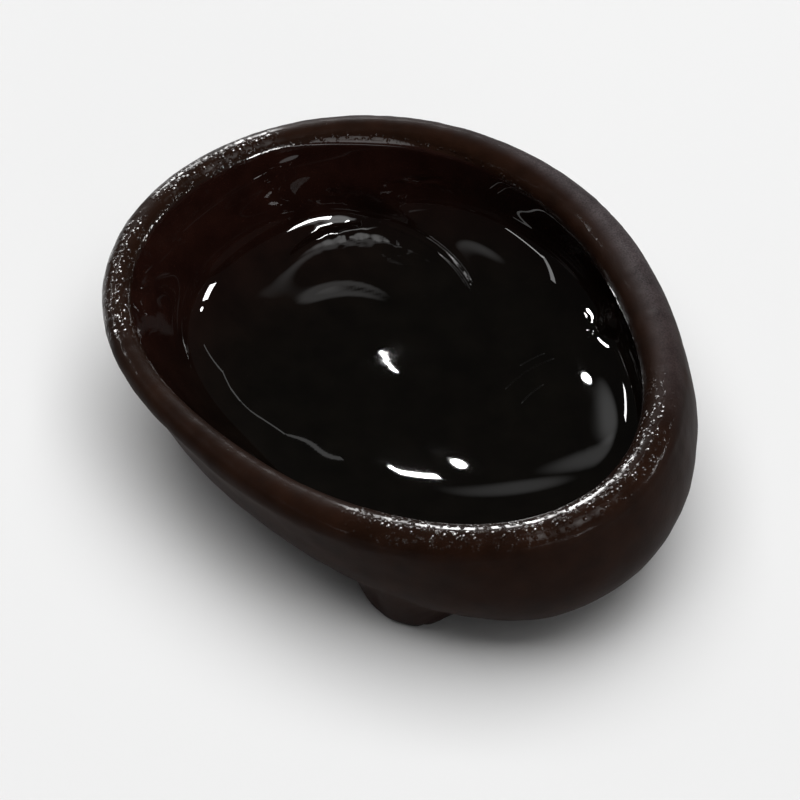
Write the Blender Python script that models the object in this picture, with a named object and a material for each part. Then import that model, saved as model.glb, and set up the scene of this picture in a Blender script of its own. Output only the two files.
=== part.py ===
"""Wood ear mushroom: one cup-shaped fruit body, cut off flat at the knob that held it to its log.

Run with blender --background --python part.py, or from the text editor. Metres, +Z up. The origin lies
in the plane of the cut, under the middle of the ear's outline, and the ear rests on the cut.

The ear is a sheet of flesh that starts level at its base, climbs as a shallow floor, turns up into a
wall and ends in a rounded lip. Each upright section through the base is worked out from the slope of
the sheet along its length, and the two faces of the flesh lie half a thickness to either side of it.
"""

import bmesh
import bpy
import numpy as np

MM = 0.001
NAME = "ear"

# The lip seen from above: a mean radius, and the waves that make it an uneven oval.
# Each wave is how many times it repeats round the lip, its size and the bearing of a crest in degrees.
RIM_RADIUS = 20.36 * MM
RIM_WAVES = (
    (1, 1.32 * MM, 52.0),
    (2, 2.00 * MM, -36.0),
    (3, 0.76 * MM, -57.0),
    (4, 0.33 * MM, -29.0),
    (5, 0.14 * MM, 28.0),
)

# The lip seen from the side: the mean height of its crest above the cut, and its waves.
RIM_HEIGHT = 14.9 * MM
HEIGHT_WAVES = ((1, 0.1 * MM, 90.0), (2, 0.7 * MM, -41.0), (3, 0.35 * MM, -7.0))

# The middle of the outline, seen from the base of the sheet.
OUTLINE_MIDDLE = (0.64 * MM, 0.28 * MM)

# Slopes of the sheet in degrees. The body leans towards one bearing: its wall overhangs there and
# flares on the far side.
FLOOR_SLOPE = 22.0
WALL_SLOPE = 84.0
WALL_SLOPE_SWING = 15.0
LIP_CURL = 6.0
LEAN_BEARING = -12.0

# Where the floor ends and the wall is upright, as shares of the sheet's length from base to lip.
FLOOR_END = 0.60
WALL_START = 0.88
TURN_SWING = 0.05
CURL_START = 0.88

# Thickness of the flesh, with the waves that make the lip thicker on one side, and how far the base
# sinks through the plane of the cut.
BASE_THICKNESS = 4.6 * MM
WALL_THICKNESS = 3.0 * MM
LIP_THICKNESS = 3.1 * MM
LIP_WAVES = ((1, 0.6 * MM, -20.0), (3, 0.2 * MM, -85.0))
LIP_START = 0.78
BASE_SINK = 0.25 * MM

# Broad dents and swellings of the outer face: repeats round the ear, size and bearing.
OUTER_SWELLS = (
    (1, 0.70 * MM, -48.0),
    (2, 0.45 * MM, -48.0),
    (3, 0.22 * MM, 70.0),
    (5, 0.18 * MM, 10.0),
    (8, 0.10 * MM, 33.0),
)

# The knob that held the ear to its log, cut through: a wedge with round ends, from under the base
# towards the front wall, and how far its flank spreads above the cut.
KNOB_BASE_END = (0.5 * MM, 2.0 * MM)
KNOB_FRONT_END = (2.2 * MM, -14.4 * MM)
KNOB_BASE_RADIUS = 4.6 * MM
KNOB_FRONT_RADIUS = 3.4 * MM
KNOB_FLANK = 1.8 * MM

# Folds on the inner face, each an arc seen from above: middle of the arc, its radius, first and last
# bearing in degrees, height, and half width.
FOLDS = (
    ((-2.1 * MM, 7.6 * MM), 9.1 * MM, 14.0, 150.0, 0.17 * MM, 0.8 * MM),
    ((-2.1 * MM, 7.6 * MM), 8.0 * MM, 50.0, 150.0, -0.35 * MM, 1.3 * MM),
    ((-3.3 * MM, 5.5 * MM), 6.35 * MM, 2.0, 160.0, 0.19 * MM, 1.5 * MM),
)
FOLD_FADE = 14.0

# How finely the solid is faceted, and the steps that a slope is summed in.
SECTORS = 84
OUTER_RINGS = 24
LIP_RINGS = 6
INNER_RINGS = 24
SLOPE_STEPS = 64


def smooth(start, end, value):
    """Rises from 0 at start to 1 at end, level at both."""
    part = np.clip((value - start) / (end - start), 0.0, 1.0)
    return part * part * (3.0 - 2.0 * part)


def waves(mean, terms, bearing):
    """A mean value plus a few waves that repeat round the ear."""
    return mean + sum(size * np.cos(count * (bearing - np.radians(crest))) for count, size, crest in terms)


def slope(share, bearing):
    """Slope of the sheet in radians: floor, then wall, then the curl of the lip."""
    lean = np.cos(bearing - np.radians(LEAN_BEARING))
    floor_end = FLOOR_END + TURN_SWING * lean
    wall_start = WALL_START + TURN_SWING / 2 * lean
    wall = WALL_SLOPE + WALL_SLOPE_SWING * lean
    degrees = FLOOR_SLOPE * smooth(0.0, floor_end, share)
    degrees = degrees + (wall - FLOOR_SLOPE) * smooth(0.8 * floor_end, wall_start, share)
    degrees = degrees + LIP_CURL * lean * smooth(CURL_START, 1.0, share)
    return np.radians(degrees)


def run(share, bearing):
    """Reach and rise of a sheet of unit length, summed along it up to each share."""
    steps = (np.arange(SLOPE_STEPS) + 0.5) / SLOPE_STEPS
    angle = slope(steps * share[:, None], bearing[:, None])
    return share * np.cos(angle).mean(axis=1), share * np.sin(angle).mean(axis=1)


def lip_thickness(bearing):
    """Thickness of the lip at each bearing."""
    return waves(LIP_THICKNESS, LIP_WAVES, bearing)


def thickness(share, bearing):
    """Thickness of the flesh from base to lip."""
    flesh = BASE_THICKNESS + (WALL_THICKNESS - BASE_THICKNESS) * smooth(0.15, 0.7, share)
    return flesh + (lip_thickness(bearing) - WALL_THICKNESS) * smooth(LIP_START, 1.0, share)


def section(share, bearing, turn):
    """Radius and height of the flesh's surface.

    The turn is -90 degrees on the outer face, 90 on the inner face, and between them round the lip.
    """
    base_height = BASE_THICKNESS / 2 - BASE_SINK
    lip_height = waves(RIM_HEIGHT, HEIGHT_WAVES, bearing) - lip_thickness(bearing) / 2
    reach, rise = run(share, bearing)
    full_reach, full_rise = run(np.ones_like(share), bearing)
    reach_scale = waves(RIM_RADIUS, RIM_WAVES, bearing) / full_reach
    rise_scale = (lip_height - base_height) / full_rise
    along_r = np.cos(slope(share, bearing)) * reach_scale
    along_z = np.sin(slope(share, bearing)) * rise_scale
    length = np.hypot(along_r, along_z)
    along_r, along_z = along_r / length, along_z / length
    half = thickness(share, bearing) / 2
    half = half + waves(0.0, OUTER_SWELLS, bearing) * np.sin(np.pi * share) * np.clip(-np.sin(turn), 0.0, 1.0)
    radius = reach * reach_scale + half * (np.cos(turn) * along_r - np.sin(turn) * along_z)
    height = base_height + rise * rise_scale + half * (np.cos(turn) * along_z + np.sin(turn) * along_r)
    return radius, height


def fold_height(x, y):
    """How far the folds raise the inner face at each place seen from above."""
    total = np.zeros_like(x)
    for (middle_x, middle_y), radius, first, last, height, half_width in FOLDS:
        off_line = np.hypot(x - middle_x, y - middle_y) - radius
        bearing = np.degrees(np.arctan2(y - middle_y, x - middle_x))
        past_first = (bearing - first) % 360.0
        within = smooth(0.0, FOLD_FADE, past_first) * smooth(0.0, FOLD_FADE, last - first - past_first)
        total = total + height * within * np.exp(-((off_line / half_width) ** 2))
    return total


def knob_pull(x, y):
    """How much the knob draws the outer face down to the cut: 1 over the knob, 0 away from it."""
    length_x = KNOB_FRONT_END[0] - KNOB_BASE_END[0]
    length_y = KNOB_FRONT_END[1] - KNOB_BASE_END[1]
    along = (x - KNOB_BASE_END[0]) * length_x + (y - KNOB_BASE_END[1]) * length_y
    along = np.clip(along / (length_x**2 + length_y**2), 0.0, 1.0)
    off_axis = np.hypot(x - KNOB_BASE_END[0] - along * length_x, y - KNOB_BASE_END[1] - along * length_y)
    radius = KNOB_BASE_RADIUS + (KNOB_FRONT_RADIUS - KNOB_BASE_RADIUS) * along
    return 1.0 - smooth(0.0, KNOB_FLANK, off_axis - radius)


def ear_surface(ring, bearing):
    """The ear's surface points for each ring, from the middle of the base, over the lip, to the floor."""
    lip_at = OUTER_RINGS, OUTER_RINGS + LIP_RINGS
    last = OUTER_RINGS + LIP_RINGS + INNER_RINGS
    share = np.interp(ring, (0, *lip_at, last), (0.0, 1.0, 1.0, 0.0))
    turn = np.radians(np.interp(ring, lip_at, (-90.0, 90.0)))
    radius, height = section(share, bearing, turn)
    x, y = radius * np.cos(bearing), radius * np.sin(bearing)
    inner = ring > lip_at[1]
    outer = ring < lip_at[0]
    height = height + fold_height(x, y) * inner
    height = height * (1.0 - knob_pull(x, y) * outer)
    return np.stack([x - OUTLINE_MIDDLE[0], y - OUTLINE_MIDDLE[1], np.maximum(height, 0.0)], axis=1)


def flesh_material():
    """Wet, near-black brown flesh."""
    material = bpy.data.materials.new("wet brown flesh")
    material.use_nodes = True
    shader = material.node_tree.nodes["Principled BSDF"]
    shader.inputs["Base Color"].default_value = (0.024, 0.012, 0.009, 1.0)
    shader.inputs["Roughness"].default_value = 0.22
    shader.inputs["Metallic"].default_value = 0.0
    material.diffuse_color = (0.10, 0.06, 0.045, 1.0)
    return material


def make_ear(collection):
    """A ball whose lower half becomes the outer face, its waist the lip and its upper half the inner face."""
    rings = OUTER_RINGS + LIP_RINGS + INNER_RINGS
    shell = bmesh.new()
    bmesh.ops.create_uvsphere(shell, u_segments=SECTORS, v_segments=rings, radius=1.0)
    ball = np.array([vertex.co[:] for vertex in shell.verts])
    ring = np.rint(np.arccos(np.clip(-ball[:, 2], -1.0, 1.0)) / np.pi * rings)
    points = ear_surface(ring, np.arctan2(ball[:, 1], ball[:, 0]))
    for vertex, point in zip(shell.verts, points):
        vertex.co = point
    bmesh.ops.triangulate(shell, faces=shell.faces[:])
    mesh = bpy.data.meshes.new(NAME)
    shell.to_mesh(mesh)
    shell.free()
    mesh.shade_smooth()
    mesh.materials.append(flesh_material())
    ear = bpy.data.objects.new(NAME, mesh)
    collection.objects.link(ear)
    return ear


def main():
    for item in list(bpy.data.objects):
        bpy.data.objects.remove(item, do_unlink=True)
    collection = bpy.data.collections.new("wood ear mushroom")
    bpy.context.scene.collection.children.link(collection)
    make_ear(collection)


main()
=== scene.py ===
"""Dresses the wood ear mushroom: its finely modelled skin, its wet and velvety finishes, and a studio.

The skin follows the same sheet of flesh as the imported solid, worked out from the slope of the sheet, on a
much finer grid, and adds what is too fine for the solid: the grains of the lip, the creases and puckers of
the hollow, and the rough flank of the knob. Lengths are in metres and bearings in degrees, anticlockwise
from +X seen from above.
"""
from __future__ import annotations

import logging
import math
from dataclasses import dataclass
from enum import Enum

import bpy
import numpy as np
from mathutils import Matrix, Vector


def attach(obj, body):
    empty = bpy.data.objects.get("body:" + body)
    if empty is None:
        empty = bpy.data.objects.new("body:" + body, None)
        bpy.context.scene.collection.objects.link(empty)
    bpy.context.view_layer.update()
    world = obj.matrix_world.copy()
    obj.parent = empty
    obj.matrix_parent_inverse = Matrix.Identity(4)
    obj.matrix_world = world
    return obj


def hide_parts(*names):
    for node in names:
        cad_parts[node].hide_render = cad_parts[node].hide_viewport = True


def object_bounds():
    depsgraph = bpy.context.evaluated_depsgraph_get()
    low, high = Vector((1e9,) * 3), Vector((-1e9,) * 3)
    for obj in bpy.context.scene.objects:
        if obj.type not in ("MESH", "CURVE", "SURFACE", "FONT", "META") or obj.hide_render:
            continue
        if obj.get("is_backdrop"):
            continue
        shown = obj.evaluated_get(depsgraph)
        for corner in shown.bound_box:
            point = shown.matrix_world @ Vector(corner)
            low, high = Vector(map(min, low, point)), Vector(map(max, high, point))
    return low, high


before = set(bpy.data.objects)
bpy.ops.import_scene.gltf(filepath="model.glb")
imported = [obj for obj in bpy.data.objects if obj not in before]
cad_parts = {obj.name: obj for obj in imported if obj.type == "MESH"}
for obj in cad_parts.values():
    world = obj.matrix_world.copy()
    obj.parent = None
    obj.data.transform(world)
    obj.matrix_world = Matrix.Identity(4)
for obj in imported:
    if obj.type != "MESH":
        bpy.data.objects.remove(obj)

LOG = logging.getLogger("wood_ear")
MM = 0.001
NODE = "ear"
BODY = "root"
EAR_MIDDLE = (0.64 * MM, 0.28 * MM)

# What brings the random swells to about 1 at most, how far a grain strays in its cell, and how fast its
# dome falls.
SWELL_GAIN = 1.6
GRAIN_SCATTER = 0.42
GRAIN_FALL = 1.5

# Places on the way along the skin, from the middle of the base, over the lip, to the middle of the floor.
OUTER_POLE = 0.0
LIP_START = 1.0
LIP_END = 2.0
INNER_POLE = 3.0

Colour = tuple[float, float, float]
Point = tuple[float, float]
Place = tuple[float, float, float]
Span = tuple[float, float]
Socket = bpy.types.NodeSocket
Input = Socket | float | tuple[float, ...]


def smooth(start: float, end: float, value: np.ndarray) -> np.ndarray:
    """Rise from 0 at start to 1 at end, level at both: 3 t squared less 2 t cubed.

    Args:
        start: where the rise begins.
        end: where it ends.
        value: the places at which it is wanted.

    Returns:
        The height of the rise at each place.
    """
    part = np.clip((value - start) / (end - start), 0.0, 1.0)
    return part * part * (3.0 - 2.0 * part)


def lattice_hash(cell: np.ndarray, seed: int) -> np.ndarray:
    """Give every cell of a lattice its own three numbers from -1 to 1.

    The cell's coordinates are mixed by large odd factors, then stirred by shifts once for each number.

    Args:
        cell: whole-number cell coordinates, one row each.
        seed: changes all the numbers together.

    Returns:
        Three numbers for each row.
    """
    mixed = cell[:, 0] * 374761393 + cell[:, 1] * 668265263 + cell[:, 2] * 1274126177 + seed * 9176749
    numbers = []
    for turn in (13, 29, 47):
        mixed = (mixed ^ (mixed >> turn % 17 + 5)) * (1103515245 + 2 * turn)
        mixed &= 0x7FFFFFFF
        numbers.append(mixed % 65536 / 32767.5 - 1.0)
    return np.stack(numbers, axis=1)


def swell_noise(points: np.ndarray, size: float, seed: int) -> np.ndarray:
    """Smooth random swells: at each lattice corner a random slope, blended by a quintic between corners.

    Args:
        points: places, one row each.
        size: the distance between lattice corners.
        seed: changes the pattern.

    Returns:
        A height from about -1 to 1 at each place.
    """
    scaled = points / size
    cell = np.floor(scaled).astype(np.int64)
    within = scaled - cell
    blend = within**3 * (within * (within * 6.0 - 15.0) + 10.0)
    total = np.zeros(len(points))
    for corner in np.ndindex(2, 2, 2):
        step = np.array(corner)
        slope = lattice_hash(cell + step, seed)
        weight = np.where(step, blend, 1.0 - blend).prod(axis=1)
        total += weight * (slope * (within - step)).sum(axis=1)
    return total * SWELL_GAIN


def grain_noise(points: np.ndarray, size: float, seed: int) -> np.ndarray:
    """Round grains: 1 less the distance to the nearest of one random point in each lattice cell, as a dome.

    Args:
        points: places, one row each.
        size: the distance between grains.
        seed: changes the pattern.

    Returns:
        0 between grains and up to 1 on top of one.
    """
    scaled = points / size
    cell = np.floor(scaled).astype(np.int64)
    nearest = np.full(len(points), 9.0)
    for step in np.ndindex(3, 3, 3):
        other = cell + np.array(step) - 1
        middle = other + 0.5 + GRAIN_SCATTER * lattice_hash(other, seed)
        nearest = np.minimum(nearest, ((scaled - middle) ** 2).sum(axis=1))
    return np.sqrt(np.clip(1.0 - nearest * GRAIN_FALL, 0.0, 1.0))


class Face(Enum):
    """The two finishes of the skin, in the order of the mesh's material slots."""

    RIND = 0
    HOLLOW = 1


@dataclass(frozen=True)
class Wave:
    """A wave that repeats a few times round the ear."""

    count: int
    size: float
    crest: float

    def at(self, bearing: np.ndarray) -> np.ndarray:
        """The cosine wave's height at each bearing in radians."""
        return self.size * np.cos(self.count * (bearing - math.radians(self.crest)))


@dataclass(frozen=True)
class Unevenness:
    """Soft random swells of one height and one size."""

    height: float
    size: float
    seed: int

    def lift(self, points: np.ndarray) -> np.ndarray:
        """The swells' height at each place."""
        return self.height * swell_noise(points, self.size, self.seed)


@dataclass(frozen=True)
class Ramp:
    """A rise from 0 to 1 between two values."""

    start: float
    end: float

    def at(self, value: np.ndarray) -> np.ndarray:
        """The smooth rise's height at each value."""
        return smooth(self.start, self.end, value)


@dataclass(frozen=True)
class Fold:
    """A fold of the hollow's skin that runs along an arc seen from above, steeper on one side."""

    middle: Point
    radius: float
    first: float
    last: float
    height: float
    inner_width: float
    outer_width: float
    fade: float = 14.0

    def lift(self, x: np.ndarray, y: np.ndarray) -> np.ndarray:
        """Height times a bell curve of the distance from the arc, faded towards both of its ends.

        Args:
            x: places across.
            y: places along.

        Returns:
            How far the fold lifts the skin at each place.
        """
        off_line = np.hypot(x - self.middle[0], y - self.middle[1]) - self.radius
        width = np.where(off_line < 0.0, self.inner_width, self.outer_width)
        bearing = np.degrees(np.arctan2(y - self.middle[1], x - self.middle[0]))
        past_first = (bearing - self.first) % 360.0
        to_last = self.last - self.first - past_first
        within = smooth(0.0, self.fade, past_first) * smooth(0.0, self.fade, to_last)
        return self.height * within * np.exp(-((off_line / width) ** 2))


@dataclass(frozen=True)
class Crease:
    """A hair-fine line in the hollow's skin, too thin for the mesh, that runs along an arc.

    Its centre is a bearing, and its core is the share of its reach at which it starts to fade.
    """

    middle: Point
    radius: float
    centre: float
    reach: float
    height: float
    half_width: float
    core: float = 0.45


@dataclass(frozen=True)
class Swelling:
    """A single rounded swelling of the skin."""

    middle: Place
    reach: Place
    height: float

    def lift(self, points: np.ndarray) -> np.ndarray:
        """Height times a bell curve of the distance from the swelling's middle."""
        off = (points - np.array(self.middle)) / np.array(self.reach)
        return self.height * np.exp(-(off**2).sum(axis=1))


@dataclass(frozen=True)
class Pucker(Swelling):
    """A patch of small random lumps, strongest at its middle."""

    lump: float = 0.5 * MM
    stretch: Place = (1.0, 1.0, 1.0)
    seed: int = 0

    def lift(self, points: np.ndarray) -> np.ndarray:
        """Random swells times the bell curve of a swelling."""
        return super().lift(points) * swell_noise(points / np.array(self.stretch), self.lump, self.seed)


@dataclass(frozen=True)
class Band:
    """A belt of the skin between two places on the way from base, over the lip, to the floor.

    A place runs from 0 to 1 up the outer face, to 2 over the lip, and to 3 down the inner face.
    """

    columns: int
    rows: int
    start: float
    end: float

    def places(self) -> np.ndarray:
        """The places of the band's rows, its end left to the next band."""
        return np.linspace(self.start, self.end, self.rows, endpoint=False)


@dataclass
class Ear:
    """The whole fruit body: its sheet of flesh, the relief of its skin, and its mesh."""

    rim_radius: float = 20.36 * MM
    rim_waves: tuple[Wave, ...] = (
        Wave(1, 1.32 * MM, 52.0),
        Wave(2, 2.00 * MM, -36.0),
        Wave(3, 0.76 * MM, -57.0),
        Wave(4, 0.33 * MM, -29.0),
        Wave(5, 0.14 * MM, 28.0),
    )
    rim_height: float = 14.9 * MM
    height_waves: tuple[Wave, ...] = (
        Wave(1, 0.1 * MM, 90.0),
        Wave(2, 0.7 * MM, -41.0),
        Wave(3, 0.35 * MM, -7.0),
    )
    outline_middle: Point = EAR_MIDDLE
    floor_slope: float = 22.0
    wall_slope: float = 84.0
    wall_slope_swing: float = 15.0
    lip_curl: float = 6.0
    lean_bearing: float = -12.0
    floor_end: float = 0.60
    turn_start: float = 0.8
    wall_start: float = 0.88
    turn_swing: float = 0.05
    curl: Ramp = Ramp(0.88, 1.0)
    base_thickness: float = 4.6 * MM
    wall_thickness: float = 3.0 * MM
    lip_thickness: float = 3.1 * MM
    lip_waves: tuple[Wave, ...] = (Wave(1, 0.6 * MM, -20.0), Wave(3, 0.2 * MM, -85.0))
    thinning: Ramp = Ramp(0.15, 0.7)
    lip_swelling: Ramp = Ramp(0.78, 1.0)
    base_sink: float = 0.25 * MM
    outer_swells: tuple[Wave, ...] = (
        Wave(1, 0.70 * MM, -48.0),
        Wave(2, 0.45 * MM, -48.0),
        Wave(3, 0.22 * MM, 70.0),
        Wave(5, 0.18 * MM, 10.0),
        Wave(8, 0.10 * MM, 33.0),
    )
    knob_base_end: Point = (0.5 * MM, 2.0 * MM)
    knob_front_end: Point = (2.2 * MM, -14.4 * MM)
    knob_base_radius: float = 4.6 * MM
    knob_front_radius: float = 3.4 * MM
    knob_flank: float = 1.8 * MM
    knob_roughness: Unevenness = Unevenness(1.6 * MM, 1.5 * MM, 51)
    # The groove inside the crescent, its deeper end, the ridge over its left half, the fold whose inner flank
    # draws the crescent's long line, the S-shaped fold across the floor, and the line along the wall's foot.
    folds: tuple[Fold, ...] = (
        Fold((-2.1 * MM, 7.6 * MM), 8.3 * MM, 50.0, 165.0, -0.38 * MM, 1.5 * MM, 0.75 * MM, 50.0),
        Fold((-2.1 * MM, 7.6 * MM), 7.9 * MM, 20.0, 95.0, -0.12 * MM, 1.3 * MM, 0.9 * MM, 25.0),
        Fold((-2.1 * MM, 7.6 * MM), 8.8 * MM, 88.0, 152.0, 0.17 * MM, 0.40 * MM, 0.55 * MM, 18.0),
        Fold((-2.9 * MM, 7.6 * MM), 10.8 * MM, -5.0, 128.0, 0.60 * MM, 0.85 * MM, 2.6 * MM, 45.0),
        Fold((-3.3 * MM, 5.5 * MM), 6.35 * MM, 2.0, 150.0, 0.19 * MM, 0.80 * MM, 3.0 * MM, 40.0),
        Fold((-0.4 * MM, -0.4 * MM), 17.7 * MM, 108.0, 150.0, 0.07 * MM, 0.35 * MM, 0.30 * MM, 16.0),
    )
    # The puckered skin of the crescent, the wrinkles of the back wall, and the lump on the right wall.
    swellings: tuple[Swelling, ...] = (
        Pucker((-4.2 * MM, 15.5 * MM, 6.8 * MM), (3.4 * MM, 1.0 * MM, 0.9 * MM), 0.07 * MM,
               stretch=(1.4, 1.0, 1.0), seed=3),
        Pucker((0.5 * MM, 15.4 * MM, 5.9 * MM), (1.7 * MM, 0.9 * MM, 1.0 * MM), 0.10 * MM, seed=4),
        Pucker((0.9 * MM, 13.2 * MM, 5.5 * MM), (1.9 * MM, 0.7 * MM, 1.0 * MM), 0.11 * MM, 0.6 * MM,
               (1.8, 1.0, 1.0), 9),
        Pucker((2.2 * MM, 18.2 * MM, 10.8 * MM), (2.4 * MM, 1.5 * MM, 0.6 * MM), 0.12 * MM,
               stretch=(2.6, 1.0, 0.8), seed=5),
        Pucker((0.6 * MM, 17.8 * MM, 9.0 * MM), (0.8 * MM, 1.0 * MM, 0.45 * MM), 0.12 * MM, seed=7),
        Pucker((-4.3 * MM, 17.1 * MM, 10.1 * MM), (1.5 * MM, 1.5 * MM, 0.7 * MM), 0.10 * MM, seed=6),
        Swelling((18.0 * MM, 6.5 * MM, 7.2 * MM), (1.1 * MM, 1.0 * MM, 1.05 * MM), 0.65 * MM),
        Pucker((15.7 * MM, 6.8 * MM, 6.3 * MM), (0.6 * MM, 1.0 * MM, 0.6 * MM), 0.12 * MM, seed=8),
    )
    # Unevenness of each region. That of the grains' patches is a share of the grains' height.
    hollow_swell: Unevenness = Unevenness(0.012 * MM, 6.0 * MM, 21)
    outer_dents: tuple[Unevenness, ...] = (
        Unevenness(0.10 * MM, 5.0 * MM, 31),
        Unevenness(0.035 * MM, 1.6 * MM, 32),
    )
    grain_size: float = 0.46 * MM
    grain_height: float = 0.016 * MM
    grain_level: float = 0.4
    grain_seed: int = 41
    grain_patches: Unevenness = Unevenness(0.35, 3.0 * MM, 43)
    lip_swell: Unevenness = Unevenness(0.03 * MM, 1.1 * MM, 44)
    # Where along the skin each relief and finish begins or ends. An arc is a middle bearing and a half width.
    hollow_from: Ramp = Ramp(1.9, 2.02)
    outside_to: Ramp = Ramp(0.98, 1.1)
    grains_from: Ramp = Ramp(0.90, 1.12)
    grains_to: Ramp = Ramp(1.86, 2.0)
    # The hollow's wall is browner higher up and towards one bearing. This is partly the thinner flesh's own
    # tone and partly painted light shining through the thin flesh from behind.
    thin_backlit_bearing: float = 125.0
    thin_backlit_tilt: float = 0.07
    thin_backlit_swing: float = 0.20
    thin_backlit_rise: Ramp = Ramp(0.36, 0.88)
    # The dry stretches of the lip's outer shoulder carry a painted purple-grey sheen in their colour, and
    # there the film of water is thinned.
    dry_and_sheen_arcs: tuple[Span, ...] = ((22.0, 50.0), (75.0, 85.0))
    dry_and_sheen_from: Ramp = Ramp(0.98, 1.2)
    dry_and_sheen_to: Ramp = Ramp(1.34, 1.62)
    wet_arcs: tuple[Span, ...] = ((167.5, 18.0), (-56.0, 50.0), (132.0, 18.0))
    arc_core: float = 0.6
    least_film: float = 0.03
    film_from: Ramp = Ramp(1.12, 1.36)
    water_line: Ramp = Ramp(1.80, 1.94)
    hollow_finish_from: float = 1.93
    slope_steps: int = 64
    bands: tuple[Band, ...] = (
        Band(128, 5, 0.04, 0.16),
        Band(256, 12, 0.16, 0.42),
        Band(512, 28, 0.42, 0.90),
        Band(1024, 6, 0.90, 1.0),
        Band(1024, 26, 1.0, 2.0),
        Band(1024, 4, 2.0, 2.04),
        Band(512, 70, 2.04, 2.50),
        Band(256, 26, 2.50, 2.86),
        Band(128, 8, 2.86, 2.98),
    )

    def slope(self, share: np.ndarray, bearing: np.ndarray) -> np.ndarray:
        """Slope of the sheet in radians: a floor, a turn up to the wall, and the curl of the lip.

        Args:
            share: how far along the sheet, 0 at its base and 1 at its lip.
            bearing: bearings in radians.

        Returns:
            The slope there.
        """
        lean = np.cos(bearing - math.radians(self.lean_bearing))
        floor_end = self.floor_end + self.turn_swing * lean
        wall_start = self.wall_start + self.turn_swing / 2 * lean
        wall = self.wall_slope + self.wall_slope_swing * lean
        degrees = self.floor_slope * smooth(0.0, floor_end, share)
        turn = smooth(self.turn_start * floor_end, wall_start, share)
        degrees = degrees + (wall - self.floor_slope) * turn
        degrees = degrees + self.lip_curl * lean * self.curl.at(share)
        return np.radians(degrees)

    def run(self, share: np.ndarray, bearing: np.ndarray) -> tuple[np.ndarray, np.ndarray]:
        """Reach and rise of a sheet of unit length: its cosines and sines summed up to each share.

        Args:
            share: how far along the sheet.
            bearing: bearings in radians.

        Returns:
            How far out and how far up the sheet has come there.
        """
        steps = (np.arange(self.slope_steps) + 0.5) / self.slope_steps
        angle = self.slope(steps * share[:, None], bearing[:, None])
        return share * np.cos(angle).mean(axis=1), share * np.sin(angle).mean(axis=1)

    def lip_at(self, bearing: np.ndarray) -> np.ndarray:
        """Thickness of the lip at each bearing."""
        return self.lip_thickness + sum(wave.at(bearing) for wave in self.lip_waves)

    def thickness(self, share: np.ndarray, bearing: np.ndarray) -> np.ndarray:
        """Thickness of the flesh, from base through wall to lip."""
        flesh = self.base_thickness + (self.wall_thickness - self.base_thickness) * self.thinning.at(share)
        return flesh + (self.lip_at(bearing) - self.wall_thickness) * self.lip_swelling.at(share)

    def section(
        self, share: np.ndarray, bearing: np.ndarray, turn: np.ndarray
    ) -> tuple[np.ndarray, np.ndarray]:
        """Skin and outward direction: the sheet's own place plus half a thickness to one side of it.

        Args:
            share: how far along the sheet.
            bearing: bearings in radians.
            turn: -90 degrees on the outer face, 90 on the inner face and between them round the lip, in
                radians.

        Returns:
            Places and unit outward directions, one row each.
        """
        base_height = self.base_thickness / 2 - self.base_sink
        waves = sum(wave.at(bearing) for wave in self.height_waves)
        lip_height = self.rim_height + waves - self.lip_at(bearing) / 2
        reach, rise = self.run(share, bearing)
        full_reach, full_rise = self.run(np.ones_like(share), bearing)
        rim = self.rim_radius + sum(wave.at(bearing) for wave in self.rim_waves)
        reach_scale, rise_scale = rim / full_reach, (lip_height - base_height) / full_rise
        slope = self.slope(share, bearing)
        along = np.stack([np.cos(slope) * reach_scale, np.sin(slope) * rise_scale])
        along = along / np.hypot(*along)
        swell = sum(wave.at(bearing) for wave in self.outer_swells)
        half = self.thickness(share, bearing) / 2
        half = half + swell * np.sin(np.pi * share) * np.clip(-np.sin(turn), 0.0, 1.0)
        out_r = np.cos(turn) * along[0] - np.sin(turn) * along[1]
        out_z = np.cos(turn) * along[1] + np.sin(turn) * along[0]
        radius = reach * reach_scale + half * out_r
        height = base_height + rise * rise_scale + half * out_z
        cosine, sine = np.cos(bearing), np.sin(bearing)
        points = np.stack([radius * cosine, radius * sine, height], axis=1)
        return points, np.stack([out_r * cosine, out_r * sine, out_z], axis=1)

    def knob_pull(self, x: np.ndarray, y: np.ndarray) -> np.ndarray:
        """How much the knob draws the outer face down to the cut: 1 over the knob and 0 away from it.

        The knob is a wedge with round ends, so this is a smooth fall with distance from its axis.

        Args:
            x: places across.
            y: places along.

        Returns:
            The knob's pull at each place.
        """
        start, end = np.array(self.knob_base_end), np.array(self.knob_front_end)
        length = end - start
        off = np.stack([x, y], axis=1) - start
        along = np.clip(off @ length / (length @ length), 0.0, 1.0)
        off_axis = np.hypot(*(off - along[:, None] * length).T)
        radius = self.knob_base_radius + (self.knob_front_radius - self.knob_base_radius) * along
        return 1.0 - smooth(0.0, self.knob_flank, off_axis - radius)

    def hollow_relief(self, points: np.ndarray) -> np.ndarray:
        """Lift of the hollow's skin: the sum of its folds, swellings, puckers and broad soft swells.

        Args:
            points: places on the smooth skin, one row each.

        Returns:
            How far the skin stands out there.
        """
        lift = sum(fold.lift(points[:, 0], points[:, 1]) for fold in self.folds)
        lift = lift + sum(swelling.lift(points) for swelling in self.swellings)
        return lift + self.hollow_swell.lift(points)

    def outside_relief(self, points: np.ndarray) -> np.ndarray:
        """Lift of the outer skin: soft dents, and faint small unevenness."""
        return sum(dents.lift(points) for dents in self.outer_dents)

    def arc(self, bearing: np.ndarray, span: Span) -> np.ndarray:
        """A stretch of the lip round a middle bearing: 1 near it, easing to 0 at its half width."""
        middle, half = (math.radians(angle) for angle in span)
        return smooth(math.cos(half), math.cos(self.arc_core * half), np.cos(bearing - middle))

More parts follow.
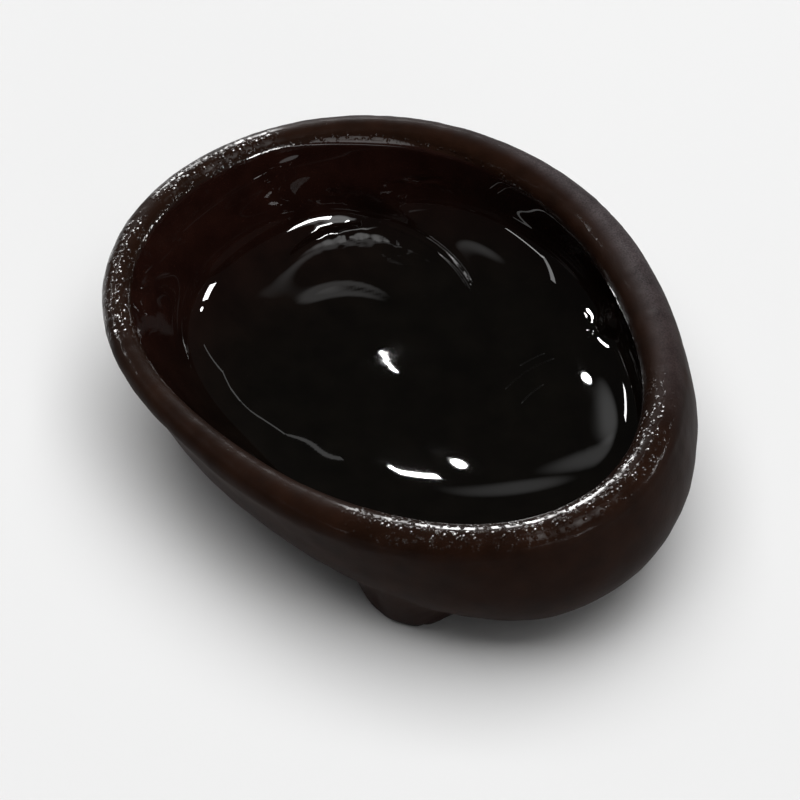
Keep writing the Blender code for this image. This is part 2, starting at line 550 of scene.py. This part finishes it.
    def grains(self, points: np.ndarray) -> np.ndarray:
        """Height of the lip's grains: round grains, taller in some patches, on soft swells.

        Args:
            points: places on the smooth skin, one row each.

        Returns:
            How far the skin stands out there.
        """
        grain = grain_noise(points, self.grain_size, self.grain_seed) - self.grain_level
        patchy = 1.0 - self.grain_patches.height + self.grain_patches.lift(points)
        return self.grain_height * patchy * grain + self.lip_swell.lift(points)

    def skin(self, place: np.ndarray, bearing: np.ndarray) -> tuple[np.ndarray, dict[str, np.ndarray]]:
        """Skin points for each place and bearing, with what the finishes need to know there.

        Args:
            place: 0 to 1 up the outer face, to 2 over the lip, to 3 down the inner face.
            bearing: bearings in radians.

        Returns:
            Points, one row each, and the named values of the finishes.
        """
        share = np.interp(place, (OUTER_POLE, LIP_START, LIP_END, INNER_POLE), (0.0, 1.0, 1.0, 0.0))
        turn = np.radians(np.interp(place, (LIP_START, LIP_END), (-90.0, 90.0)))
        points, outward = self.section(share, bearing, turn)
        outer_face = place < LIP_START
        grainy = self.grains_from.at(place) * (1.0 - self.grains_to.at(place))
        pull = self.knob_pull(points[:, 0], points[:, 1]) * outer_face
        lift = self.hollow_from.at(place) * self.hollow_relief(points)
        lift = lift + (1.0 - self.outside_to.at(place)) * self.outside_relief(points)
        lift = lift + grainy * self.grains(points)
        lift = lift + pull * (1.0 - pull) * self.knob_roughness.lift(points)
        points = points + lift[:, None] * outward
        pulled = np.maximum(points[:, 2] * (1.0 - pull), 0.0)
        points[:, 2] = np.where(outer_face, pulled, points[:, 2])
        points[:, :2] -= np.array(self.outline_middle)
        # Brown of the thin wall: partly its own tone, partly painted light shining through it from behind.
        thin_backlit = self.thin_backlit_share(points[:, 2], bearing)
        # Dryness also places the painted sheen on the lip's outer shoulder.
        wet, dry_and_sheen = self.wetness(place, bearing)
        values = {
            "thin_backlit": np.where(place < (LIP_START + LIP_END) / 2, 1.0, thin_backlit),
            "knob": pull,
            "grainy": grainy,
            "wet": wet,
            "dry_and_sheen": dry_and_sheen,
        }
        return points, values

    def thin_backlit_share(self, height: np.ndarray, bearing: np.ndarray) -> np.ndarray:
        """How brown the hollow's wall is painted: a smooth rise with height, more on one side. The brown is
        partly the thinner flesh's own tone and partly painted light shining through the thin flesh from
        behind.

        Args:
            height: heights of the skin.
            bearing: bearings in radians.

        Returns:
            0 on the thick floor and up to 1 on the thin, backlit wall.
        """
        lean = np.cos(bearing - math.radians(self.thin_backlit_bearing))
        rise = self.thin_backlit_rise.at(height / self.rim_height + self.thin_backlit_tilt * lean)
        return rise * (1.0 - self.thin_backlit_swing + self.thin_backlit_swing * lean)

    def wetness(self, place: np.ndarray, bearing: np.ndarray) -> tuple[np.ndarray, np.ndarray]:
        """Where the skin is wet, and where it is dry and painted with a purple-grey sheen.

        The hollow is wet below its water line. On the lip, a film of water lies in some arcs, and the
        outer shoulder is dry in others, where its colour is a painted sheen and the film is thinned.

        Args:
            place: places from base, over the lip, to the floor.
            bearing: bearings in radians.

        Returns:
            Wetness, and dryness with its painted sheen, from 0 to 1.
        """
        # The dry stretches carry a painted sheen in the colour.
        dry_and_sheen = sum(self.arc(bearing, arc) for arc in self.dry_and_sheen_arcs) / len(self.dry_and_sheen_arcs)
        dry_and_sheen = dry_and_sheen * self.dry_and_sheen_from.at(place) * (1.0 - self.dry_and_sheen_to.at(place))
        film = sum(self.arc(bearing, arc) * (1.0 - dry_and_sheen) for arc in self.wet_arcs)
        film = np.clip(film, self.least_film, 1.0) * self.film_from.at(place)
        return np.maximum(self.water_line.at(place), film), dry_and_sheen

    def mesh(self) -> bpy.types.Mesh:
        """Join the bands into one closed skin.

        A ring with twice the columns of its neighbour meets it in five-sided faces, and a pole closes
        each end. Each face takes its finish from the place of its first corner.

        Returns:
            The mesh, each face given the number of its finish.
        """
        last = self.bands[-1]
        rows = np.concatenate([band.places() for band in self.bands] + [[last.end]])
        columns = np.concatenate([np.full(band.rows, band.columns) for band in self.bands] + [[last.columns]])
        first = 1 + np.concatenate([[0], np.cumsum(columns)])
        bearings = np.concatenate([np.arange(count) * (2 * np.pi / count) for count in columns])
        places = np.concatenate([[OUTER_POLE], np.repeat(rows, columns), [INNER_POLE]])
        points, values = self.skin(places, np.concatenate([[0.0], bearings, [0.0]]))
        faces = self.pole_faces(first[0], columns[0], 0)[:, ::-1].tolist()
        for ring in range(len(columns) - 1):
            faces += self.ring_faces(first[ring], columns[ring], first[ring + 1], columns[ring + 1]).tolist()
        faces += self.pole_faces(first[-2], columns[-1], len(points) - 1).tolist()
        mesh = bpy.data.meshes.new("ear_skin")
        mesh.from_pydata(points.tolist(), [], faces)
        corner_places = places[[face[0] for face in faces]]
        finish = np.where(corner_places < self.hollow_finish_from, Face.RIND.value, Face.HOLLOW.value)
        mesh.polygons.foreach_set("material_index", finish.astype(np.int32))
        for name, value in values.items():
            mesh.attributes.new(name, "FLOAT", "POINT").data.foreach_set("value", value.astype(np.float32))
        mesh.shade_smooth()
        mesh.validate()
        return mesh

    @staticmethod
    def pole_faces(ring: int, count: int, pole: int) -> np.ndarray:
        """Three-sided faces from a ring to the pole that closes it.

        Args:
            ring: the ring's first vertex.
            count: its columns.
            pole: the pole's vertex.

        Returns:
            Rows of vertex numbers, facing outwards for the inner pole.
        """
        start = ring + np.arange(count)
        return np.stack([start, np.roll(start, -1), np.full_like(start, pole)], axis=1)

    @staticmethod
    def ring_faces(low: int, low_count: int, high: int, high_count: int) -> np.ndarray:
        """Faces between two rings whose column counts are equal, or one twice the other.

        Args:
            low: first vertex of the ring nearer the outer pole.
            low_count: its columns.
            high: first vertex of the next ring.
            high_count: its columns.

        Returns:
            Rows of vertex numbers, facing outwards.
        """
        count = min(low_count, high_count)
        each = np.arange(count)
        after = (each + 1) % count
        if low_count == high_count:
            corners = [low + each, low + after, high + after, high + each]
        elif low_count < high_count:
            corners = [low + each, low + after, high + 2 * after, high + 2 * each + 1, high + 2 * each]
        else:
            corners = [low + 2 * each, low + 2 * each + 1, low + 2 * after, high + after, high + each]
        return np.stack(corners, axis=1)

    def build(self) -> bpy.types.Object:
        """Make the skin, dress it and set it in place of the plain solid.

        Returns:
            The finished piece.
        """
        mesh = self.mesh()
        for finish in (RIND, HOLLOW):
            mesh.materials.append(finish.material())
        ear = bpy.data.objects.new("ear_skin", mesh)
        bpy.context.scene.collection.objects.link(ear)
        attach(ear, BODY)
        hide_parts(NODE)
        return ear


@dataclass(frozen=True)
class Net:
    """A short way to add nodes to a node tree and join them."""

    tree: bpy.types.NodeTree

    def add(self, kind: str) -> bpy.types.Node:
        """Add a node of one kind."""
        return self.tree.nodes.new(kind)

    def join(self, value: Input, socket: Socket) -> None:
        """Feed a socket from another socket, or set it to a plain value."""
        if isinstance(value, Socket):
            self.tree.links.new(value, socket)
        else:
            socket.default_value = value

    def attribute(self, name: str) -> Socket:
        """Read one of the skin's own values.

        Args:
            name: the value's name.

        Returns:
            The value.
        """
        node = self.add("ShaderNodeAttribute")
        node.attribute_name = name
        return node.outputs["Fac"]

    def noise(self, place: Socket, size: float, detail: float) -> Socket:
        """Cloudy noise.

        Args:
            place: the place on the skin.
            size: the size of its largest swells.
            detail: how many times it is laid over itself at half the size.

        Returns:
            The noise, from 0 to 1.
        """
        node = self.add("ShaderNodeTexNoise")
        node.inputs["Scale"].default_value = 1.0 / size
        node.inputs["Detail"].default_value = detail
        self.join(place, node.inputs["Vector"])
        return node.outputs["Fac"]

    def math(self, operation: str, first: Input, second: Input) -> Socket:
        """Work out one number from two.

        Args:
            operation: the name of the sum.
            first: the first number.
            second: the second number.

        Returns:
            The result.
        """
        node = self.add("ShaderNodeMath")
        node.operation = operation
        self.join(first, node.inputs[0])
        self.join(second, node.inputs[1])
        return node.outputs["Value"]

    def vector(
        self, operation: str, first: Input, second: Input | None = None, scale: Input | None = None
    ) -> Socket:
        """Work out a vector, or the distance of two, from one or two vectors.

        Args:
            operation: the name of the vector sum.
            first: the first vector.
            second: the second vector, where the sum has one.
            scale: the factor, where the sum has one.

        Returns:
            The result.
        """
        node = self.add("ShaderNodeVectorMath")
        node.operation = operation
        self.join(first, node.inputs[0])
        if second is not None:
            self.join(second, node.inputs[1])
        if scale is not None:
            self.join(scale, node.inputs["Scale"])
        return node.outputs["Value" if operation in ("DISTANCE", "LENGTH", "DOT_PRODUCT") else "Vector"]

    def remap(self, value: Input, source: Span, target: Span, eased: bool = False) -> Socket:
        """Carry a number from one range to another, held at its ends.

        Args:
            value: the number.
            source: the range that it comes from.
            target: the range that it goes to.
            eased: whether it leaves and arrives gently.

        Returns:
            The new number.
        """
        node = self.add("ShaderNodeMapRange")
        node.interpolation_type = "SMOOTHSTEP" if eased else "LINEAR"
        self.join(value, node.inputs["Value"])
        for name, number in zip(("From Min", "From Max", "To Min", "To Max"), source + target):
            node.inputs[name].default_value = number
        return node.outputs["Result"]

    def mix(self, factor: Input, first: Input, second: Input) -> Socket:
        """Blend two numbers.

        Args:
            factor: 0 for the first and 1 for the second.
            first: the first number.
            second: the second number.

        Returns:
            The blend.
        """
        node = self.add("ShaderNodeMix")
        self.join(factor, node.inputs["Factor"])
        self.join(first, node.inputs["A"])
        self.join(second, node.inputs["B"])
        return node.outputs["Result"]

    def mix_colour(self, factor: Input, first: Input, second: Input) -> Socket:
        """Blend two colours.

        Args:
            factor: 0 for the first and 1 for the second.
            first: the first colour.
            second: the second colour.

        Returns:
            The blend.
        """
        node = self.add("ShaderNodeMix")
        node.data_type = "RGBA"
        self.join(factor, node.inputs["Factor"])
        for name, value in (("A_Color", first), ("B_Color", second)):
            self.join(value, next(socket for socket in node.inputs if socket.identifier == name))
        return next(socket for socket in node.outputs if socket.identifier == "Result_Color")


@dataclass(frozen=True)
class FleshFinish:
    """A finish of the flesh: its colours, its film of water, and the unevenness of its surface.

    Colours run from the thick flesh of the floor to the thin flesh of the wall, whose brown is partly its own
    tone and partly painted light shining through it from behind, and roughness from dry to wet flesh. The dry
    colour is a painted purple-grey sheen. Beads are the grains of the lip, and grit is the roughness on them.
    A span is the stretch of a cloudy noise that is carried to the whole range of what it changes.
    """

    name: str
    thick: Colour
    thin_backlit: Colour
    knob: Colour
    dry_roughness: float
    wet_roughness: float
    mottle: float
    even_height: float
    film_roughness: float
    sheen: float = 0.0
    creases: tuple[Crease, ...] = ()
    # A painted purple-grey sheen for the velvety dry shoulder, not the flesh's own colour.
    dry_and_sheen: Colour = (0.042, 0.033, 0.034)
    mottle_size: float = 2.6 * MM
    mottle_span: Span = (0.3, 0.7)
    speck: float = 0.45
    speck_span: Span = (0.35, 0.65)
    film_patch: float = 1.3 * MM
    film_span: Span = (0.38, 0.62)
    least_film: float = 0.25
    bead_size: float = 0.40 * MM
    bead_height: float = 0.075 * MM
    bead_reach: float = 0.5
    grit_size: float = 0.14 * MM
    grit_height: float = 0.006 * MM
    even_size: float = 0.35 * MM
    specular: float = 0.04
    ior: float = 1.45
    sheen_roughness: float = 0.35
    sheen_tint: Colour = (0.80, 0.66, 0.74)

    def material(self) -> bpy.types.Material:
        """Build the node material: mottled colour, a film of water where it is wet, and fine relief.

        Returns:
            The material.
        """
        material = bpy.data.materials.new(self.name)
        material.use_nodes = True
        net = Net(material.node_tree)
        sockets = material.node_tree.nodes["Principled BSDF"].inputs
        place = net.add("ShaderNodeTexCoord").outputs["Object"]
        wet, dry_and_sheen, grainy = (net.attribute(name) for name in ("wet", "dry_and_sheen", "grainy"))
        net.join(self.colour(net, place, dry_and_sheen), sockets["Base Color"])
        net.join(self.film(net, place, wet, grainy), sockets["Coat Weight"])
        net.join(net.mix(wet, self.dry_roughness, self.wet_roughness), sockets["Roughness"])
        bump = net.add("ShaderNodeBump")
        bump.inputs["Distance"].default_value = MM
        net.join(self.relief(net, place, wet, grainy), bump.inputs["Height"])
        net.join(bump.outputs["Normal"], sockets["Normal"])
        net.join(bump.outputs["Normal"], sockets["Coat Normal"])
        sockets["Specular IOR Level"].default_value = self.specular
        sockets["IOR"].default_value = self.ior
        sockets["Coat Roughness"].default_value = self.film_roughness
        sockets["Sheen Weight"].default_value = self.sheen
        sockets["Sheen Roughness"].default_value = self.sheen_roughness
        sockets["Sheen Tint"].default_value = (*self.sheen_tint, 1.0)
        return material

    def colour(self, net: Net, place: Socket, dry_and_sheen: Socket) -> Socket:
        """Blend thick flesh, the thin wall's brown and the dry shoulder's painted sheen, mottle it, speck it
        where it is dry, and set in the knob.

        Args:
            net: the material's nodes.
            place: the place on the skin.
            dry_and_sheen: dryness there, which also places the painted sheen.

        Returns:
            The colour.
        """
        # The thin wall's brown is partly painted light shining through the flesh from behind; the dry colour
        # is a painted sheen.
        flesh = net.mix_colour(net.attribute("thin_backlit"), (*self.thick, 1.0), (*self.thin_backlit, 1.0))
        flesh = net.mix_colour(dry_and_sheen, flesh, (*self.dry_and_sheen, 1.0))
        mottle = net.noise(place, self.mottle_size, detail=5.0)
        shade = net.remap(mottle, self.mottle_span, (1.0 - self.mottle, 1.0 + self.mottle))
        speck = net.noise(place, self.grit_size, detail=2.0)
        speck = net.remap(speck, self.speck_span, (1.0 - self.speck, 1.0 + self.speck))
        shade = net.math("MULTIPLY", shade, net.mix(dry_and_sheen, 1.0, speck))
        toned = net.vector("SCALE", flesh, scale=shade)
        return net.mix_colour(net.attribute("knob"), toned, (*self.knob, 1.0))

    def film(self, net: Net, place: Socket, wet: Socket, grainy: Socket) -> Socket:
        """Lay the film of water: wetness, thinned in patches where the skin is grainy.

        Args:
            net: the material's nodes.
            place: the place on the skin.
            wet: wetness there.
            grainy: graininess there.

        Returns:
            How much film there is.
        """
        patch = net.noise(place, self.film_patch, detail=3.0)
        patch = net.remap(patch, self.film_span, (self.least_film, 1.0))
        return net.math("MULTIPLY", wet, net.mix(grainy, 1.0, patch))

    def relief(self, net: Net, place: Socket, wet: Socket, grainy: Socket) -> Socket:
        """Add up the relief that is too fine for the mesh: wet beads and grit on the lip, and creases.

        Args:
            net: the material's nodes.
            place: the place on the skin.
            wet: wetness there.
            grainy: graininess there.

        Returns:
            The lift in millimetres.
        """
        beads = net.add("ShaderNodeTexVoronoi")
        beads.inputs["Scale"].default_value = 1.0 / self.bead_size
        net.join(place, beads.inputs["Vector"])
        bead_height = (self.bead_height / MM, 0.0)
        bead_lift = net.remap(beads.outputs["Distance"], (0.0, self.bead_reach), bead_height, eased=True)
        bead_lift = net.math("MULTIPLY", bead_lift, wet)
        grit = net.noise(place, self.grit_size, detail=3.0)
        rough_lift = net.math("ADD", bead_lift, net.math("MULTIPLY", grit, self.grit_height / MM))
        even = net.noise(place, self.even_size, detail=4.0)
        even_lift = net.math("MULTIPLY", even, self.even_height / MM)
        lift = net.math("ADD", net.math("MULTIPLY", rough_lift, grainy), even_lift)
        for crease in self.creases:
            lift = net.math("ADD", lift, self.crease_lift(net, place, crease))
        return lift

    @staticmethod
    def crease_lift(net: Net, place: Socket, crease: Crease) -> Socket:
        """A crease's lift: smooth falls with distance from its arc and from the middle of its length.

        Args:
            net: the material's nodes.
            place: the place on the skin.
            crease: the crease.

        Returns:
            Its lift in millimetres.
        """
        middle = Vector((crease.middle[0] - EAR_MIDDLE[0], crease.middle[1] - EAR_MIDDLE[1], 0.0))
        bearing = math.radians(crease.centre)
        centre = middle + crease.radius * Vector((math.cos(bearing), math.sin(bearing), 0.0))
        flat = net.vector("MULTIPLY", place, (1.0, 1.0, 0.0))
        off_line = net.math("SUBTRACT", net.vector("DISTANCE", flat, middle[:]), crease.radius)
        off_line = net.math("ABSOLUTE", off_line, 0.0)
        across = net.remap(off_line, (0.0, crease.half_width), (1.0, 0.0), eased=True)
        fade = (crease.core * crease.reach, crease.reach)
        along = net.remap(net.vector("DISTANCE", flat, centre[:]), fade, (1.0, 0.0), eased=True)
        return net.math("MULTIPLY", net.math("MULTIPLY", across, along), crease.height / MM)


RIND = FleshFinish(
    name="velvety brown rind",
    thick=(0.0130, 0.0050, 0.0025),
    thin_backlit=(0.0130, 0.0050, 0.0025),
    knob=(0.018, 0.0085, 0.007),
    dry_roughness=0.5,
    wet_roughness=0.35,
    mottle=0.28,
    even_height=0.012 * MM,
    film_roughness=0.03,
    sheen=0.01,
)
HOLLOW = FleshFinish(
    name="wet black hollow",
    thick=(0.0024, 0.0019, 0.0014),
    # Brown of the thin wall: partly its own tone, partly painted light shining through it from behind.
    thin_backlit=(0.0160, 0.0054, 0.0038),
    knob=(0.002, 0.002, 0.002),
    dry_roughness=0.05,
    wet_roughness=0.015,
    mottle=0.30,
    even_height=0.00015 * MM,
    film_roughness=0.015,
    creases=(
        Crease((-2.1 * MM, 7.6 * MM), 9.2 * MM, 52.0, 6.5 * MM, 0.03 * MM, 0.16 * MM),
        Crease((-2.1 * MM, 7.6 * MM), 9.65 * MM, 48.0, 4.5 * MM, 0.02 * MM, 0.14 * MM),
        Crease((15.2 * MM, -2.8 * MM), 7.5 * MM, 125.0, 3.0 * MM, 0.022 * MM, 0.14 * MM),
        Crease((15.2 * MM, -2.8 * MM), 8.3 * MM, 118.0, 1.6 * MM, 0.012 * MM, 0.14 * MM),
        Crease((15.2 * MM, -2.8 * MM), 5.6 * MM, 135.0, 1.7 * MM, 0.012 * MM, 0.14 * MM),
    ),
)


class LampShape(Enum):
    """The outline of a lamp's lit face."""

    STRIP = "RECTANGLE"
    ROUND = "ELLIPSE"

    def area(self, width: float, height: float) -> float:
        """Area of the lit face: width times height, and pi / 4 of that where it is round."""
        return width * height * (math.pi / 4 if self is LampShape.ROUND else 1.0)


@dataclass(frozen=True)
class Heading:
    """A way out of the ear, in degrees.

    Climb runs from 0 towards +Y over 90 overhead to 180 towards -Y, and lean is the angle towards +X.
    """

    climb: float
    lean: float

    def axes(self) -> tuple[Vector, Vector, Vector]:
        """Work out the unit vectors of the heading from the sines and cosines of its angles.

        Returns:
            Across towards +X, up the climb, and out.
        """
        climb, lean = math.radians(self.climb), math.radians(self.lean)
        level, raised = math.cos(climb), math.sin(climb)
        out = Vector((math.sin(lean), math.cos(lean) * level, math.cos(lean) * raised))
        across = Vector((math.cos(lean), -math.sin(lean) * level, -math.sin(lean) * raised))
        return across, Vector((0.0, -raised, level)), out


@dataclass(frozen=True)
class Lamp:
    """A small bright lamp that only the wet flesh shows, as its mirror image.

    A roll turns it about its heading, in degrees.
    """

    name: str
    heading: Heading
    size: Point
    brightness: float
    roll: float = 0.0
    shape: LampShape = LampShape.STRIP
    distance: float = 0.6

    def build(self, aim: Vector) -> None:
        """Hang the lamp on its heading, turned towards the ear.

        Its power is brightness times area times pi.

        Args:
            aim: the place that it faces.
        """
        across, up, out = self.heading.axes()
        turn = math.radians(self.roll)
        wide = across * math.cos(turn) - up * math.sin(turn)
        light = bpy.data.lights.new(self.name, "AREA")
        light.shape = self.shape.value
        light.size, light.size_y = self.size
        light.energy = self.brightness * math.pi * self.shape.area(*self.size)
        lamp = bpy.data.objects.new(self.name, light)
        lamp.location = aim + out * self.distance
        lamp.rotation_euler = Matrix((wide, out.cross(wide), out)).transposed().to_euler()
        lamp.visible_camera = False
        lamp.visible_diffuse = False
        bpy.context.scene.collection.objects.link(lamp)


@dataclass(frozen=True)
class Glow:
    """A dim soft patch of the room, mirrored as a grey sheen: an oval that fades out to its edge."""

    name: str
    heading: Heading
    half_size: Point
    brightness: float

    def add(self, net: Net, way: Socket) -> Socket:
        """Work out the patch's light along each way out of the room.

        Its edge is where the way's distance from the middle, across and up in half sizes, is 1.

        Args:
            net: the world's nodes.
            way: the direction looked in.

        Returns:
            The patch's brightness there.
        """
        across, up, out = self.heading.axes()
        wide, high = (math.sin(math.radians(half)) for half in self.half_size)
        east = net.math("DIVIDE", net.vector("DOT_PRODUCT", way, across[:]), wide)
        north = net.math("DIVIDE", net.vector("DOT_PRODUCT", way, up[:]), high)
        square = net.math("ADD", net.math("MULTIPLY", east, east), net.math("MULTIPLY", north, north))
        fade = net.remap(square, (0.0, 1.0), (self.brightness, 0.0), eased=True)
        ahead = net.math("GREATER_THAN", net.vector("DOT_PRODUCT", way, out[:]), 0.0)
        return net.math("MULTIPLY", fade, ahead)


@dataclass
class Studio:
    """A plain pale floor that curves up all round, soft light from above, small lamps, and the camera."""

    floor_rings: tuple[float, ...] = (0.0, 0.05, 0.2, 0.5, 1.1)
    stage_columns: int = 96
    sweep_steps: int = 12
    sweep_radius: float = 0.3
    wall_height: float = 0.35
    floor_colour: Colour = (0.80, 0.80, 0.80)
    room_grey: float = 0.03
    fill_size: float = 0.9
    fill_place: Place = (0.0, 0.15, 0.9)
    fill_power: float = 10.5
    lamp_aim: Place = (0.0, 0.0, 8.0 * MM)
    camera_place: Place = (3.08 * MM, -179.81 * MM, 247.1 * MM)
    camera_aim: Place = (0.12 * MM, -1.85 * MM, 7.5 * MM)
    lens: float = 170.0
    nearest_seen: float = 0.01
    lamps: tuple[Lamp, ...] = (
        Lamp("back strip", Heading(47.65, 0.30), (0.026, 0.0045), 150.0, 28.8),
        Lamp("back strip end", Heading(47.2, 1.45), (0.006, 0.0045), 150.0, -31.0),
        Lamp("back round", Heading(50.05, -2.05), (0.0058, 0.0085), 150.0, shape=LampShape.ROUND),
        Lamp("high lens", Heading(58.60, 0.77), (0.0011, 0.016), 150.0, 48.0, shape=LampShape.ROUND),
        Lamp("high lens end", Heading(57.45, -0.09), (0.0022, 0.020), 150.0, 27.0, shape=LampShape.ROUND),
        Lamp("left round", Heading(55.7, -17.5), (0.032, 0.0100), 120.0, shape=LampShape.ROUND),
        Lamp("left low", Heading(67.5, -53.5), (0.07, 0.06), 120.0, shape=LampShape.ROUND),
        Lamp("left speck", Heading(67.0, -45.5), (0.03, 0.03), 60.0, shape=LampShape.ROUND),
        Lamp("left slit", Heading(46.0, -43.5), (0.12, 0.014), 28.0),
        Lamp("right strip", Heading(93.0, 68.5), (0.06, 0.12), 40.0, 17.0),
        Lamp("right round", Heading(67.6, 63.7), (0.03, 0.03), 60.0, shape=LampShape.ROUND),
        Lamp("front strip", Heading(159.8, 39.2), (0.118, 0.045), 50.0, -9.7),
        Lamp("low back", Heading(20.0, -8.0), (0.44, 0.22), 22.0, shape=LampShape.ROUND),
        Lamp("left strip", Heading(142.0, -44.0), (0.025, 0.34), 7.0, 32.0),
        Lamp("left strip low", Heading(103.0, -46.0), (0.025, 0.36), 3.5, -31.0),
        Lamp("right low", Heading(12.0, 44.0), (0.26, 0.05), 3.0),
        Lamp("ring strip", Heading(49.5, 34.0), (0.19, 0.008), 1.2, -3.0),
        Lamp("ring strip middle", Heading(46.0, 21.3), (0.10, 0.008), 1.2, -39.0),
        Lamp("ring strip low", Heading(41.2, 14.3), (0.078, 0.005), 1.0, -28.0),
        Lamp("ring strip end", Heading(42.0, 8.4), (0.074, 0.003), 0.8, 45.0),
    )
    glows: tuple[Glow, ...] = (
        Glow("low band", Heading(46.0, -7.0), (7.0, 1.6), 0.5),
        Glow("low band right", Heading(48.5, -18.0), (10.0, 1.9), 0.6),
        Glow("grey patch", Heading(52.0, -25.0), (9.0, 4.0), 0.9),
        Glow("overhead", Heading(108.0, 19.3), (15.5, 20.0), 1.9),
        Glow("front band", Heading(157.0, 26.0), (20.0, 5.0), 3.0),
        Glow("high", Heading(86.0, 12.0), (17.0, 8.0), 0.6),
    )

    def build(self) -> None:
        """Make the stage, the lamps, the room and the camera.

        The backdrop's profile is a quarter circle from the floor's edge, and then a straight wall.
        """
        rings = np.array(self.floor_rings)
        self.make_stage("floor", rings, np.zeros_like(rings))
        turn = np.linspace(0.0, np.pi / 2, self.sweep_steps)
        curve = rings[-1] + self.sweep_radius * np.sin(turn)
        rise = self.sweep_radius * (1.0 - np.cos(turn))
        wall = self.make_stage("backdrop", np.append(curve, curve[-1]), np.append(rise, self.wall_height))
        wall.visible_glossy = False
        self.make_fill()
        for lamp in self.lamps:
            lamp.build(Vector(self.lamp_aim))
        self.make_room()
        bpy.context.scene.view_settings.view_transform = "Standard"
        self.make_camera()

    def make_room(self) -> None:
        """Make the dim grey room: its light is the sum of its grey and its soft glows."""
        world = bpy.data.worlds.new("dim room")
        world.use_nodes = True
        net = Net(world.node_tree)
        way = net.add("ShaderNodeTexCoord").outputs["Generated"]
        light: Input = self.room_grey
        for glow in self.glows:
            light = net.math("ADD", glow.add(net, way), light)
        net.join(light, world.node_tree.nodes["Background"].inputs["Color"])
        bpy.context.scene.world = world

    def make_stage(self, name: str, radius: np.ndarray, height: np.ndarray) -> bpy.types.Object:
        """Turn a profile round the upright axis into one smooth pale sheet.

        Args:
            name: the sheet's name.
            radius: distance of each point of the profile from the axis.
            height: height of each point.

        Returns:
            The sheet, marked as part of the stage.
        """
        bearing = np.arange(self.stage_columns) * (2 * np.pi / self.stage_columns)
        points = np.stack(np.broadcast_arrays(
            radius[:, None] * np.cos(bearing), radius[:, None] * np.sin(bearing), height[:, None]
        ), axis=-1).reshape(-1, 3)
        row, column = np.divmod(np.arange((len(radius) - 1) * self.stage_columns), self.stage_columns)
        low, after = row * self.stage_columns, (column + 1) % self.stage_columns
        high = low + self.stage_columns
        faces = np.stack([low + column, high + column, high + after, low + after], 1)
        mesh = bpy.data.meshes.new(name)
        mesh.from_pydata(points.tolist(), [], faces.tolist())
        mesh.shade_smooth()
        material = bpy.data.materials.new("plain pale " + name)
        material.use_nodes = True
        shader = material.node_tree.nodes["Principled BSDF"]
        shader.inputs["Base Color"].default_value = (*self.floor_colour, 1.0)
        shader.inputs["Roughness"].default_value = 1.0
        shader.inputs["Specular IOR Level"].default_value = 0.0
        mesh.materials.append(material)
        sheet = bpy.data.objects.new(name, mesh)
        bpy.context.scene.collection.objects.link(sheet)
        sheet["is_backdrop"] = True
        return sheet

    def make_fill(self) -> None:
        """Hang one large soft lamp overhead, which lights but isn't mirrored in the wet flesh."""
        light = bpy.data.lights.new("soft fill", "AREA")
        light.size = self.fill_size
        light.energy = self.fill_power
        lamp = bpy.data.objects.new("soft fill", light)
        lamp.location = self.fill_place
        lamp.visible_glossy = False
        bpy.context.scene.collection.objects.link(lamp)

    def make_camera(self) -> None:
        """Place the camera at the photograph's viewing angle and distance."""
        camera = bpy.data.objects.new("camera", bpy.data.cameras.new("camera"))
        camera.data.lens = self.lens
        camera.data.clip_start = self.nearest_seen
        camera.location = self.camera_place
        aim = Vector(self.camera_aim) - Vector(self.camera_place)
        camera.rotation_euler = aim.to_track_quat("-Z", "Y").to_euler()
        bpy.context.scene.collection.objects.link(camera)
        bpy.context.scene.camera = camera


def corners() -> list[list[float]]:
    """The shown object's lowest and highest corners as plain lists."""
    return [list(corner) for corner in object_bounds()]


def main() -> None:
    """Build the pieces in order and report each one."""
    logging.basicConfig(level=logging.INFO, format="%(message)s")
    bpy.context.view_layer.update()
    Studio().build()
    LOG.info("studio: floor, lamps and camera")
    ear = Ear().build()
    LOG.info("%s: %d vertices, %d faces", ear.name, len(ear.data.vertices), len(ear.data.polygons))


if __name__ == "__main__":
    main()
